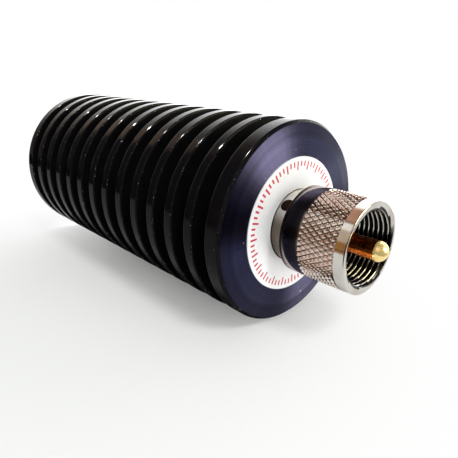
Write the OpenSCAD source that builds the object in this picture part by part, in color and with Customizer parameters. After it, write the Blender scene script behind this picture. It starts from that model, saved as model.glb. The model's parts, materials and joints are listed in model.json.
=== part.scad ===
// Plug-in radio-frequency dummy load: a finned heat sink that carries a
// screw-on coaxial plug, with a flange resistor in a chamber behind the plug.
// Every piece is turned or set about the plug's axis, with the heat sink's
// front face at height 0 and the plug pointing up, then laid on the bench.

/* [Heat sink] */
// Diameter across the fins
sink_d = 44; // [38:0.5:60]
// Length of the heat sink
sink_l = 88.65; // [60:0.05:140]
// Number of thin fins between the front and the rear flange
fin_count = 12; // [4:1:20]
// Thickness of one thin fin
fin_t = 2.5; // [1.5:0.1:4]
// Thickness of the front flange
front_flange_t = 4.2; // [3:0.1:8]
// Thickness of the rear flange
rear_flange_t = 3.1; // [2:0.1:8]
// Edge break on the fins
fin_edge = 0.3; // [0.1:0.05:0.6]
// Chamfer round the front face
front_chamfer = 0.6; // [0.3:0.1:1.5]
// Wall of the core round the plug's seat
core_wall = 2; // [1.5:0.1:4]

/* [Resistor] */
// Width of the resistor's mounting flange
resistor_w = 6.35; // [5:0.05:9]
// Thickness of the resistor's mounting flange
resistor_t = 1.5; // [1:0.1:3]
// Distance from a screw to the end of that flange
flange_end = 3.2; // [2.8:0.1:5]
// Length of the ceramic substrate along the flange
substrate_l = 8; // [5:0.1:12]
// Thickness of the ceramic substrate
substrate_t = 1; // [0.6:0.1:2]
// Height of the ceramic cap on the substrate
cap_h = 1.2; // [0.8:0.1:2]
// Margin of bare substrate round the cap
cap_margin = 0.7; // [0.4:0.1:1.2]
// Width of the terminal tab
tab_w = 2.4; // [1.5:0.1:3]
// Thickness of the terminal tab
tab_t = 0.3; // [0.1:0.05:0.5]
// Air under the tab where it folds over the cap
tab_air = 0.6; // [0.3:0.1:2]

/* [Resistor chamber] */
// Clear length of the chamber behind the plug
chamber_l = 8.5; // [7.5:0.1:14]
// Room round the corners of the resistor
chamber_room = 0.25; // [0.1:0.05:1]
// Width of the step on which the plug's flange seats
seat_step = 1.5; // [0.8:0.1:2.5]
// Thickness of the plug's rear flange
plug_flange_t = 4.5; // [3:0.1:6]

/* [Screws] */
// Thread diameter of the resistor screws
screw_d = 3; // [2:0.1:3.1]
// Room between the screw heads and the substrate
screw_room = 0.35; // [0.2:0.05:2]
// Length of the screws under the head
screw_l = 8; // [6:0.5:12]
// Head diameter of the screws
screw_head_d = 5.5; // [4.5:0.1:5.8]
// Head height of the screws
screw_head_h = 2; // [1.2:0.1:2.4]
// Width and depth of the cross recess
recess_w = 0.8; // [0.4:0.1:1]
// Thickness of the spring washers
washer_t = 0.8; // [0.5:0.1:1.2]
// Width of the spring washers' ring
washer_ring = 1; // [0.6:0.1:1.2]

/* [Coupling nut] */
// Pitch diameter of the coupling thread
thread_d = 15.2; // [12:0.1:18]
// Wall of the nut outside its running bore
nut_wall = 1.52; // [1.3:0.02:3]
// Distance from the heat sink's face to the nut
nut_gap = 3.5; // [3.2:0.1:8]
// Length of the smooth band at the rear of the nut
rear_band = 4.6; // [3:0.1:8]
// Length of the knurled grip
knurl_l = 8; // [4:0.1:14]
// Length of the smooth band at the front of the nut
front_band = 2.1; // [1.9:0.1:5]
// Chamfer at the rear edge of the nut
rear_edge = 0.6; // [0.2:0.1:1]
// Chamfer at the front edge of the nut
front_edge = 0.5; // [0.2:0.1:0.6]
// Width of the flat rim round the mouth
rim_w = 0.3; // [0.1:0.05:0.5]
// Length of the running bore behind the thread
lip_l = 3; // [2.6:0.1:4]

/* [Knurl] */
// Diamonds round the nut
knurl_count = 50; // [24:1:60]
// Half diamonds along the grip
knurl_rows = 8; // [4:2:12]
// Depth of the diamonds
knurl_depth = 0.45; // [0.2:0.05:0.6]
// How far the diamonds stand proud of the smooth bands
knurl_proud = 0.1; // [0:0.05:0.2]

/* [Plug body] */
// How much wider than the thread the neck is, on the radius
neck_step = 0.1; // [0.05:0.05:0.5]
// Radial room between the collar and the thread
collar_room = 0.5; // [0.4:0.05:1]
// Distance from the nut's mouth to the collar's face
socket_l = 8.8; // [6:0.1:10]
// Wall of the collar round the insulator
collar_wall = 1.8; // [1.4:0.1:2.5]
// Number of locating teeth on the collar's face
tooth_count = 4; // [2:1:8]
// Height of a locating tooth
tooth_h = 0.9; // [0.4:0.1:1.5]
// Width of a locating tooth
tooth_w = 2; // [1:0.1:3]
// Diameter of the cross holes through the neck
cross_hole_d = 2.8; // [1.5:0.1:3]
// Number of cross holes
cross_hole_count = 2; // [1:1:4]
// Turn of the first cross hole about the axis
cross_hole_turn = 220; // [0:5:360]

/* [Retaining ring] */
// Thickness of the retaining ring
ring_t = 0.8; // [0.5:0.1:1]
// Depth of the ring in the neck
ring_in = 0.7; // [0.4:0.05:1]
// Depth of the ring in the nut
ring_out = 0.5; // [0.3:0.05:0.7]
// Gap in the retaining ring
ring_gap_turn = 40; // [20:5:90]

/* [Contact] */
// Diameter of the centre pin
pin_d = 4; // [3:0.1:4.5]
// How far the pin reaches out of the nut
pin_reach = 3.5; // [1:0.1:6]
// Extra radius of the pin where the insulator holds it
land = 0.2; // [0.1:0.05:0.4]
// Extra radius of the shoulder on the pin
shoulder = 0.7; // [0.5:0.1:1.2]
// Thickness of that shoulder
shoulder_t = 1.5; // [0.8:0.1:2]
// Diameter of the pin's tail
tail_d = 2; // [1:0.1:2.6]
// Length of the front insulator
front_insulator_l = 5.2; // [3:0.1:5.6]
// How far the insulator lies below the collar's face
insulator_recess = 0.4; // [0.2:0.1:1]
// Width of the step on which the rear insulator seats
insulator_step = 0.9; // [0.5:0.1:1.5]
// Thickness of that step
insulator_step_t = 1.5; // [0.8:0.1:3]

/* [Label] */
// How far the label covers the heat sink round the plug's seat
label_cover = 2.1; // [1:0.1:3]
// Thickness of the label
label_t = 0.2; // [0.1:0.05:0.4]
// Room round the neck in the label
label_room = 0.2; // [0.1:0.05:0.6]

/* [Fits] */
// Radial clearance of the nut on the plug body
run_fit = 0.08; // [0.04:0.01:0.1]
// Radial clearance of pieces that are seated for good
seat_fit = 0.03; // [0.01:0.01:0.05]

/* [Hidden] */
$fn = 96;

// Overlap of a cut past the face that it opens
cut = 1;
// Radius of the pin's nose against the pin's own radius
nose_ratio = 1.02;

// Heat sink, with equal grooves between its fins
sink_r = sink_d / 2;
fin_gap = (sink_l - front_flange_t - rear_flange_t - fin_count * fin_t) / (fin_count + 1);
fin_pitch = fin_t + fin_gap;
screw_spacing = substrate_l + screw_head_d + 2 * screw_room;
resistor_l = screw_spacing + 2 * flange_end;
chamber_r = norm([resistor_l, resistor_w]) / 2 + chamber_room;
seat_r = chamber_r + seat_step;
core_r = seat_r + core_wall;
chamber_floor = -plug_flange_t - chamber_l;

// Coupling nut, from its rear face to its mouth
thread_r = thread_d / 2;
neck_r = thread_r + neck_step;
run_r = neck_r + run_fit;
nut_r = run_r + nut_wall;
crest_r = nut_r + knurl_proud;
root_r = crest_r - knurl_depth;
rim_r = nut_r - front_edge - rim_w;
sleeve_r = (root_r + thread_r) / 2;
knurl_z = nut_gap + rear_band;
knurl_end = knurl_z + knurl_l;
nut_front = knurl_end + front_band;
lip_end = nut_gap + lip_l;

// Plug body
collar_r = thread_r - collar_room;
collar_face = nut_front - socket_l;
neck_end = lip_end - 2 * run_fit;
insulator_r = collar_r - collar_wall;
insulator_bore_r = insulator_r + seat_fit;
insulator_seat = insulator_step_t - plug_flange_t;
cross_hole_z = (label_t + nut_gap) / 2;

// Retaining ring, in the middle of the nut's lip
ring_z = nut_gap + (lip_l - ring_t) / 2;
ring_in_r = neck_r - ring_in;
ring_out_r = run_r + ring_out;

// Contact
pin_r = pin_d / 2;
pin_tip = nut_front + pin_reach;
land_r = pin_r + land;
shoulder_r = pin_r + shoulder;
tail_r = tail_d / 2;
front_insulator_end = collar_face - insulator_recess;
shoulder_z = front_insulator_end - front_insulator_l;
shoulder_end = shoulder_z + shoulder_t;

// Resistor stack, from the chamber's floor upwards
flange_top = chamber_floor + resistor_t;
substrate_top = flange_top + substrate_t;
cap_top = substrate_top + cap_h;
cap_half_w = resistor_w / 2 - cap_margin;
tab_top = cap_top + tab_air + tab_t;
tab_bend = resistor_w / 2 + tab_t;
washer_top = flange_top + washer_t;
screw_hole_r = screw_d / 2 + seat_fit;
screw_tip = washer_top - screw_l;

// Lays the turning axis along X, with the fins on the bench at height 0
module on_bench() {
  translate([(sink_l - pin_tip) / 2, 0, sink_r])
    rotate([0, 90, 0])
      children();
}

// Places a copy at each of the two resistor screws
module at_screws() {
  for (side = [-1, 1])
    translate([0, side * screw_spacing / 2, 0])
      children();
}

// A ring between two radii, standing on a given height
module ring(inner_r, outer_r, z, height) {
  translate([0, 0, z])
    difference() {
      cylinder(r = outer_r, h = height);
      translate([0, 0, -cut])
        cylinder(r = inner_r, h = height + 2 * cut);
    }
}

// Half section of one disc of the heat sink, with both rims broken
function disc_outline(rear_z, front_z, front_break) = [
  [core_r, rear_z],
  [sink_r - fin_edge, rear_z],
  [sink_r, rear_z + fin_edge],
  [sink_r, front_z - front_break],
  [sink_r - front_break, front_z],
  [core_r, front_z]
];

// Rear height of a thin fin, counted from the rear flange
function fin_rear(i) = -sink_l + rear_flange_t + fin_gap + i * fin_pitch;

// Half section of the heat sink: rear flange, fins, front flange, then the
// stepped bore that holds the plug and the resistor
sink_outline = concat(
  [[0, -sink_l]],
  disc_outline(-sink_l, -sink_l + rear_flange_t, fin_edge),
  [for (i = [0:fin_count - 1]) each disc_outline(fin_rear(i), fin_rear(i) + fin_t, fin_edge)],
  disc_outline(-front_flange_t, 0, front_chamfer),
  [
    [seat_r, 0],
    [seat_r, -plug_flange_t],
    [chamber_r, -plug_flange_t],
    [chamber_r, chamber_floor],
    [0, chamber_floor]
  ]
);

// One-piece turned heat sink
module heat_sink() {
  color("#1b1a22")
    on_bench()
      difference() {
        rotate_extrude() polygon(sink_outline);
        translate([0, 0, screw_tip - cut])
          at_screws() cylinder(r = screw_hole_r, h = chamber_floor - screw_tip + 2 * cut);
      }
}

// Thin ring label on the front face, which hides the plug's seat
module label_ring() {
  color("#f1eff0")
    on_bench()
      ring(neck_r + label_room, seat_r + label_cover, 0, label_t);
}

// Turned plug body: rear flange, neck with the ring groove, and toothed collar
plug_outline = [
  [insulator_bore_r - insulator_step, -plug_flange_t],
  [seat_r - seat_fit, -plug_flange_t],
  [seat_r - seat_fit, 0],
  [neck_r, 0],
  [neck_r, ring_z - run_fit],
  [ring_in_r - run_fit, ring_z - run_fit],
  [ring_in_r - run_fit, ring_z + ring_t + run_fit],
  [neck_r, ring_z + ring_t + run_fit],
  [neck_r, neck_end],
  [collar_r, neck_end],
  [collar_r, collar_face],
  [insulator_bore_r, collar_face],
  [insulator_bore_r, insulator_seat],
  [insulator_bore_r - insulator_step, insulator_seat]
];

module plug_body() {
  color("#c9c6c2")
    on_bench() {
      difference() {
        rotate_extrude() polygon(plug_outline);
        for (i = [0:cross_hole_count - 1])
          rotate([0, 0, cross_hole_turn + i * 360 / cross_hole_count])
            translate([0, 0, cross_hole_z])
              rotate([0, 90, 0])
                cylinder(d = cross_hole_d, h = neck_r + cut);
      }
      intersection() {
        ring(insulator_bore_r, collar_r, collar_face - cut, tooth_h + cut);
        for (i = [0:tooth_count - 1])
          rotate([0, 0, i * 360 / tooth_count])
            translate([0, -tooth_w / 2, collar_face - cut])
              cube([collar_r + cut, tooth_w, tooth_h + cut]);
      }
    }
}

// Half section of the coupling nut without its knurl; its mouth is a lead-in
// at 45 degrees from the flat rim down to the thread
nut_outline = [
  [run_r, nut_gap],
  [nut_r - rear_edge, nut_gap],
  [nut_r, nut_gap + rear_edge],
  [nut_r, knurl_z],
  [sleeve_r, knurl_z],
  [sleeve_r, knurl_end],
  [nut_r, knurl_end],
  [nut_r, nut_front - front_edge],
  [nut_r - front_edge, nut_front],
  [rim_r, nut_front],
  [thread_r, nut_front - (rim_r - thread_r)],
  [thread_r, lip_end],
  [run_r, lip_end],
  [run_r, ring_z + ring_t + run_fit],
  [ring_out_r + run_fit, ring_z + ring_t + run_fit],
  [ring_out_r + run_fit, ring_z - run_fit],
  [run_r, ring_z - run_fit]
];

// The knurl is a lattice in which crests and pits take turns, both round the
// nut and along it. Each crest is the tip of a four-sided pyramid, and the
// grooves run from pit to pit along both diagonals.
knurl_cols = 2 * knurl_count;
function knurl_r(row, col) = (row + col) % 2 == 0 ? root_r : crest_r;
function knurl_point(r, row, col) = [
  r * cos(col * 360 / knurl_cols),
  r * sin(col * 360 / knurl_cols),
  knurl_z + row * knurl_l / knurl_rows
];
function knurl_at(row, col) = row * knurl_cols + col % knurl_cols;

// Two triangles of the lattice, split along the groove that crosses the cell
function knurl_cell(row, col) =
  let (a = knurl_at(row, col), b = knurl_at(row, col + 1))
  let (c = knurl_at(row + 1, col + 1), d = knurl_at(row + 1, col))
  (row + col) % 2 == 0 ? [[a, c, b], [a, d, c]] : [[a, d, b], [b, d, c]];

module knurl() {
  // The inner wall of the sleeve has one ring of points at each end
  inner = (knurl_rows + 1) * knurl_cols;
  bore_r = (sleeve_r + thread_r) / 2;
  points = concat(
    [for (row = [0:knurl_rows], col = [0:knurl_cols - 1]) knurl_point(knurl_r(row, col), row, col)],
    [for (row = [0, knurl_rows], col = [0:knurl_cols - 1]) knurl_point(bore_r, row, col)]
  );
  faces = [
    for (row = [0:knurl_rows - 1], col = [0:knurl_cols - 1]) each knurl_cell(row, col),
    for (col = [0:knurl_cols - 1])
      let (next = (col + 1) % knurl_cols, low = inner, high = inner + knurl_cols)
      let (top = knurl_rows * knurl_cols)
      each [
        [col, next, low + next], [col, low + next, low + col],
        [top + next, top + col, high + col], [top + next, high + col, high + next],
        [low + col, low + next, high + next], [low + col, high + next, high + col]
      ]
  ];
  polyhedron(points = points, faces = faces);
}

// Knurled nut that turns freely on the neck; its thread is a plain bore
module coupling_nut() {
  color("#d8d5d0")
    on_bench() {
      rotate_extrude() polygon(nut_outline);
      knurl();
    }
}

// Open spring ring, half in the neck and half in the nut
module retaining_ring() {
  color("#8f8f92")
    on_bench()
      rotate([0, 0, ring_gap_turn / 2])
        rotate_extrude(angle = 360 - ring_gap_turn)
          translate([ring_in_r, ring_z])
            square([ring_out_r - ring_in_r, ring_t]);
}

// Insulator in the collar, with a pocket for the pin's shoulder
module front_insulator() {
  color("#5b3420")
    on_bench()
      difference() {
        ring(land_r + seat_fit, insulator_r, shoulder_z, front_insulator_l);
        translate([0, 0, shoulder_z - cut])
          cylinder(r = shoulder_r + seat_fit, h = shoulder_t + cut);
      }
}

// Insulator behind the pin's shoulder
module rear_insulator() {
  color("#5b3420")
    on_bench()
      ring(tail_r + seat_fit, insulator_r, insulator_seat, shoulder_z - insulator_seat);
}

// Half section of the pin's tail, shoulder and land
pin_root_outline = [
  [0, tab_top],
  [tail_r, tab_top],
  [tail_r, shoulder_z],
  [shoulder_r, shoulder_z],
  [shoulder_r, shoulder_end],
  [land_r, shoulder_end],
  [land_r, front_insulator_end],
  [0, front_insulator_end]
];

// Gold-plated centre pin: the root in the insulators, then the shank with its
// round nose, which starts inside the land
module centre_pin() {
  nose_z = pin_tip - nose_ratio * pin_r;
  color("#c08a3c")
    on_bench() {
      rotate_extrude() polygon(pin_root_outline);
      intersection() {
        translate([0, 0, shoulder_end])
          cylinder(r = pin_r, h = pin_tip - shoulder_end);
        union() {
          translate([0, 0, shoulder_end - cut])
            cylinder(r = pin_r + cut, h = nose_z - shoulder_end + cut);
          translate([0, 0, nose_z])
            sphere(r = nose_ratio * pin_r);
        }
      }
    }
}

// Copper flange that spreads the heat into the chamber's floor
module resistor_flange() {
  color("#b9b4ac")
    on_bench()
      difference() {
        translate([-resistor_w / 2, -resistor_l / 2, chamber_floor])
          cube([resistor_w, resistor_l, resistor_t]);
        translate([0, 0, chamber_floor - cut])
          at_screws() cylinder(r = screw_hole_r, h = resistor_t + 2 * cut);
      }
}

// Ceramic substrate that carries the resistive film
module resistor_substrate() {
  color("#e8e6df")
    on_bench()
      translate([-resistor_w / 2, -substrate_l / 2, flange_top])
        cube([resistor_w, substrate_l, substrate_t]);
}

// Ceramic cap over the resistive film
module resistor_cap() {
  cap_l = substrate_l - 2 * cap_margin;
  color("#f4f2ea")
    on_bench()
      translate([-cap_half_w, -cap_l / 2, substrate_top])
        cube([2 * cap_half_w, cap_l, cap_h]);
}

// Terminal tab, folded up beside the cap and back over it to the pin's tail
module resistor_tab() {
  outline = [
    [cap_half_w, substrate_top],
    [tab_bend + tab_t, substrate_top],
    [tab_bend + tab_t, tab_top],
    [-tail_r, tab_top],
    [-tail_r, tab_top - tab_t],
    [tab_bend, tab_top - tab_t],
    [tab_bend, substrate_top + tab_t],
    [cap_half_w, substrate_top + tab_t]
  ];
  color("#cfc9bd")
    on_bench()
      rotate([90, 0, 0])
        linear_extrude(tab_w, center = true)
          polygon(outline);
}

// Two pan-head screws with a cross recess
module resistor_screws() {
  color("#a9a9ad")
    on_bench()
      at_screws()
        difference() {
          union() {
            translate([0, 0, screw_tip])
              cylinder(d = screw_d, h = screw_l);
            translate([0, 0, washer_top])
              cylinder(d = screw_head_d, h = screw_head_h);
          }
          for (turn = [0, 90])
            rotate([0, 0, turn])
              translate([-screw_d / 2, -recess_w / 2, washer_top + screw_head_h - recess_w])
                cube([screw_d, recess_w, recess_w + cut]);
        }
}

// Two spring washers under the screw heads
module spring_washers() {
  color("#8a8a8e")
    on_bench()
      at_screws()
        ring(screw_hole_r, screw_hole_r + washer_ring, flange_top, washer_t);
}

heat_sink();
label_ring();
plug_body();
coupling_nut();
retaining_ring();
front_insulator();
rear_insulator();
centre_pin();
resistor_flange();
resistor_substrate();
resistor_cap();
resistor_tab();
resistor_screws();
spring_washers();
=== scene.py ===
"""Looks of a plug-in RF dummy load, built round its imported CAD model.

The load lies on a white bench with its axis along +X and its plug towards +X. The finned heat sink and
the knurled coupling nut are turned surfaces worked out here; every other piece is the CAD node with its
own finish.
"""

import json
import math

import bmesh
import bpy
import numpy as np
from bpy.props import FloatProperty, FloatVectorProperty, IntProperty, PointerProperty
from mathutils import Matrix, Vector


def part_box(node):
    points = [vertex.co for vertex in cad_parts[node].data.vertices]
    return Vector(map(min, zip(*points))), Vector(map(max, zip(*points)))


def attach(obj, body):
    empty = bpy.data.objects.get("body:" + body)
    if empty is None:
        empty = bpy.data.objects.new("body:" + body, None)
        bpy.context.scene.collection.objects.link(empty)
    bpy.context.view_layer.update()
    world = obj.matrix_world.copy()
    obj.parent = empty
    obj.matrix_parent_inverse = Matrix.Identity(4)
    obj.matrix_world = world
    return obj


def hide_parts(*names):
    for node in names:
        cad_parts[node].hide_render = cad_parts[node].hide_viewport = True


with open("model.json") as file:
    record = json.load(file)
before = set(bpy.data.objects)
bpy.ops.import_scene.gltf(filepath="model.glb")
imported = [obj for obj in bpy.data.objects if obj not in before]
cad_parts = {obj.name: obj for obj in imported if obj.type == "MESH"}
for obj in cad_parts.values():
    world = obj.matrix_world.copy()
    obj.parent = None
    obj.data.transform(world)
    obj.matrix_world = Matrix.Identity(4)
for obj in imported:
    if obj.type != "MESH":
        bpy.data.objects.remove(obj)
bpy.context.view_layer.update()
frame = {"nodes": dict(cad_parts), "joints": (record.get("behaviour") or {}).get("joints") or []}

bl_info = {
    "name": "RF dummy load",
    "version": (1, 0, 0),
    "blender": (4, 5, 0),
    "location": "View3D > Sidebar > Dummy load",
    "description": "Builds the turned pieces, finishes and stage of a plug-in RF dummy load",
    "category": "Object",
}

MM = 0.001

# Places that come from the frame: the axis, the ends of the turned pieces and the radius they lie on.
NUT_HINGE = frame["joints"][0]["pos_m"]
AXIS_Y, AXIS_Z = NUT_HINGE[1], NUT_HINGE[2]
SINK_REAR, SINK_FRONT = (corner.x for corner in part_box("heat_sink"))
NUT_REAR, NUT_FRONT = (corner.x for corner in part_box("coupling_nut"))
PIN_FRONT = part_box("centre_pin")[1].x
RIM_RADIUS = AXIS_Z

# How finely the turned pieces are divided, the share of a round at which its flats are held flat, and the
# distance within which points are merged.
SINK_COLUMNS = 288
STEPS_PER_HALF_DIAMOND = 4
THREAD_ROWS_PER_TURN = 10
SINK_ARC_STEPS = 3
NUT_ARC_STEPS = 5
HOLD_SHARE = 0.25
WELD = 1e-6


def linear(hex_colour):
    """An sRGB hex colour as linear red, green, blue and alpha."""
    srgb = np.array([int(hex_colour[i : i + 2], 16) for i in (1, 3, 5)]) / 255
    low, high = srgb / 12.92, ((srgb + 0.055) / 1.055) ** 2.4
    return (*np.where(srgb <= 0.04045, low, high).tolist(), 1.0)


def colour_property(name, description, hex_colour):
    """A colour swatch whose default is an sRGB hex value."""
    return FloatVectorProperty(
        name=name, description=description, subtype="COLOR", size=4, min=0, max=1, default=linear(hex_colour)
    )


def length_property(name, description, millimetres):
    """A length whose default is written in millimetres."""
    return FloatProperty(name=name, description=description, unit="LENGTH", min=0, default=millimetres * MM)


def place_property(name, description, millimetres):
    """A place along one axis, on either side of the origin, written in millimetres."""
    return FloatProperty(name=name, description=description, unit="LENGTH", default=millimetres * MM)


def angle_property(name, description, degrees):
    """An angle whose default is written in degrees."""
    return FloatProperty(name=name, description=description, subtype="ANGLE", default=math.radians(degrees))


def number_property(name, description, number, least, most):
    """A plain number with its limits."""
    return FloatProperty(name=name, description=description, default=number, min=least, max=most)


def count_property(name, description, count, least, most):
    """A whole number with its limits."""
    return IntProperty(name=name, description=description, default=count, min=least, max=most)


class HeatSinkSettings(bpy.types.PropertyGroup):
    """Sizes and colours of the turned heat sink."""

    fin_count: count_property("Fins", "Thin fins between the flanges", 12, 4, 20)
    fin_thickness: length_property("Fin thickness", "Thickness of one fin", 2.5)
    front_flange: length_property("Front flange", "Thickness of the flange that carries the plug", 4.2)
    rear_flange: length_property("Rear flange", "Thickness of the flange at the far end", 3.1)
    core_radius: length_property("Core radius", "Radius at the bottom of the grooves", 14.53)
    edge_round: length_property("Fin edge", "Round on the edges of the fins", 0.3)
    front_chamfer: length_property("Front edge break", "Chamfer round the front face", 0.6)
    face_zone: length_property("Face zone", "Radius where the front face starts to fall back", 18.6)
    face_fall: length_property("Face fall", "How far it falls back at its edge", 0.25)
    seat_radius: length_property("Seat radius", "Bore that takes the plug's flange", 12.53)
    seat_depth: length_property("Seat depth", "Depth of that bore", 4.5)
    chamber_radius: length_property("Chamber radius", "Bore that holds the resistor", 11.03)
    chamber_depth: length_property("Chamber depth", "Depth of the resistor's floor", 13.0)
    rim_colour: colour_property("Rims", "Dyed oxide on the fins' rims", "#0a090b")
    face_colour: colour_property("Turned faces", "Dyed oxide over turning marks", "#2e2e4a")


class LabelSettings(bpy.types.PropertyGroup):
    """The printed ring on the front face."""

    film_colour: colour_property("Film", "White film", "#f3f2f1")
    tick_colour: colour_property("Ink", "Printed scale", "#c8203a")
    tick_count: count_property("Ticks", "Marks round the ring", 72, 12, 144)
    tick_radius: length_property("Tick radius", "Middle of the marks", 12.85)
    tick_length: length_property("Tick length", "Length of a mark", 1.8)
    tick_width: length_property("Tick width", "Width of a mark", 0.42)


class PlugSettings(bpy.types.PropertyGroup):
    """Sizes and colours of the coupling nut, the centre pin and the plug's body."""

    nut_radius: length_property("Nut radius", "Radius of the smooth bands", 9.3)
    rear_band: length_property("Rear band", "Smooth band behind the knurl", 4.6)
    knurl_length: length_property("Knurl length", "Length of the knurled grip", 8.0)
    rear_edge: length_property("Rear edge", "Round on the nut's rear edge", 0.25)
    front_edge: length_property("Front edge", "Round on the nut's front edge", 0.2)
    rim_width: length_property("Rim width", "Flat ring round the nut's mouth", 0.3)
    lip_length: length_property("Lip", "Inward lip that runs on the neck", 3.0)
    run_radius: length_property("Running bore", "Bore of that lip", 7.78)
    knurl_count: count_property("Diamonds", "Diamonds round the nut", 50, 20, 60)
    knurl_rows: count_property("Half rows", "Half diamonds along the grip", 8, 2, 12)
    knurl_root: length_property("Knurl root", "Radius at the bottom of the grooves", 8.95)
    knurl_depth: length_property("Knurl depth", "Height of the diamonds", 0.45)
    thread_pitch: length_property("Thread pitch", "24 threads to the inch", 25.4 / 24)
    thread_minor: length_property("Thread crest", "Smallest radius of the inside thread", 7.37)
    thread_major: length_property("Thread root", "Largest radius of the inside thread", 7.94)
    mouth_slope: number_property("Mouth slope", "Fall of the lead-in cone", 4.0, 0.5, 6)
    nickel_colour: colour_property("Nickel", "Bright nickel plate", "#d3cfca")
    gold_colour: colour_property("Gold", "Bright gold plate", "#ffe29a")
    # The pin is painted darker behind its nose, a painted shade inside the nut; the nose keeps its plating.
    nose_length: length_property("Pin nose", "Round end of the pin, which sockets keep bright", 2.0)
    resin_colour: colour_property("Resin", "Brown moulded insulators", "#59351f")


class StageSettings(bpy.types.PropertyGroup):
    """The camera, the bench and the light."""

    camera_offset: FloatVectorProperty(
        name="Camera",
        description="From the middle of the heat sink's front face",
        subtype="TRANSLATION",
        unit="LENGTH",
        default=(55.24 * MM, -72.3 * MM, 33.7 * MM),
    )
    azimuth: angle_property("Azimuth", "Turn of the camera about +Z", 46.22)
    elevation: angle_property("Elevation", "Tilt of the camera", 21.16)
    lens: FloatProperty(name="Lens", description="Focal length", unit="CAMERA", default=35.09)
    paper_colour: colour_property("Bench", "White paper", "#f4f4f3")
    paper_middle: FloatVectorProperty(
        name="Shadowed part",
        description="Middle of the paper that shows its shade",
        subtype="TRANSLATION",
        unit="LENGTH",
        default=(0, -30 * MM, 0),
    )
    fade_start: length_property("Fade start", "Distance from there where the shade starts to fade", 20)
    fade_end: length_property("Fade end", "Distance from there where plain white starts", 90)
    paper_left: place_property("Paper's left edge", "Along X", -220)
    paper_front: place_property("Paper's front edge", "Along Y", -170)
    paper_right: place_property("Paper's right edge", "X at Y 0", 88)
    paper_skew: number_property("Paper's skew", "Lean of the right edge", 0.12, -1, 1)
    paper_back: place_property("Back sheet", "Y where a white sheet starts", 85)
    # The lit part is painted light: gloss sees it as a glow, not lit by a lamp.
    lit_back: place_property("Lit part", "Y where bright light falls on that sheet", 120)
    lit_right: place_property("Lit part's right edge", "Along X", 130)
    lit_level: number_property("Lit part's level", "Against plain white", 4.0, 1, 8)
    ambient: number_property("Ambient", "Soft light from all round", 0.63, 0, 1)
    room_light: number_property("Room", "Brightest wall that gloss sees", 4.2, 0, 6)


def add(tree, kind, settings=None, inputs=None):
    """Adds one node; kind is its type without the ShaderNode in front.

    Settings are the node's own attributes, and each input takes a socket to link or a value.
    """
    node = tree.nodes.new("ShaderNode" + kind)
    for key, value in (settings or {}).items():
        setattr(node, key, value)
    set_inputs(tree, node, inputs or {})
    return node


def set_inputs(tree, node, inputs):
    """Links or sets the named inputs of a node that is already there."""
    for key, value in inputs.items():
        if isinstance(value, bpy.types.NodeSocket):
            tree.links.new(value, node.inputs[key])
        else:
            node.inputs[key].default_value = value


def new_material(name):
    """An empty node material: the material, its tree and its Principled shader."""
    material = bpy.data.materials.new(name)
    material.use_nodes = True
    tree = material.node_tree
    tree.nodes.clear()
    shader = add(tree, "BsdfPrincipled")
    add(tree, "OutputMaterial", None, {"Surface": shader.outputs["BSDF"]})
    return material, tree, shader


def axis_coordinates(tree):
    """Object coordinates about the turning axis: the place, the place along it and the distance from it."""
    place = add(tree, "TexCoord").outputs["Object"]
    centred = add(tree, "VectorMath", {"operation": "SUBTRACT"}, {0: place, 1: (0, AXIS_Y, AXIS_Z)})
    split = add(tree, "SeparateXYZ", None, {0: centred.outputs[0]})
    flat = add(tree, "CombineXYZ", None, {"Y": split.outputs["Y"], "Z": split.outputs["Z"]})
    radius = add(tree, "VectorMath", {"operation": "LENGTH"}, {0: flat.outputs[0]})
    return place, split, radius.outputs["Value"]


def scale_of(size_mm):
    """The scale of a pattern whose lumps are this many millimetres across."""
    return 1 / (size_mm * MM)


def dusted(tree, place, colour, dust_colour, start):
    """A colour with a few specks of dust, where a fine noise rises past start.

    The specks are drawn up to 0.4 mm across; real dust is finer.
    """
    dust = add(
        tree, "TexNoise", None, {"Vector": place, "Scale": scale_of(0.45), "Detail": 0.0}
    ).outputs["Fac"]
    speck = add(
        tree, "MapRange", None, {"Value": dust, "From Min": start, "From Max": start + 0.03}
    ).outputs[0]
    return add(
        tree, "Mix", {"data_type": "RGBA"}, {"Factor": speck, "A": colour, "B": dust_colour}
    ).outputs["Result"]


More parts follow.
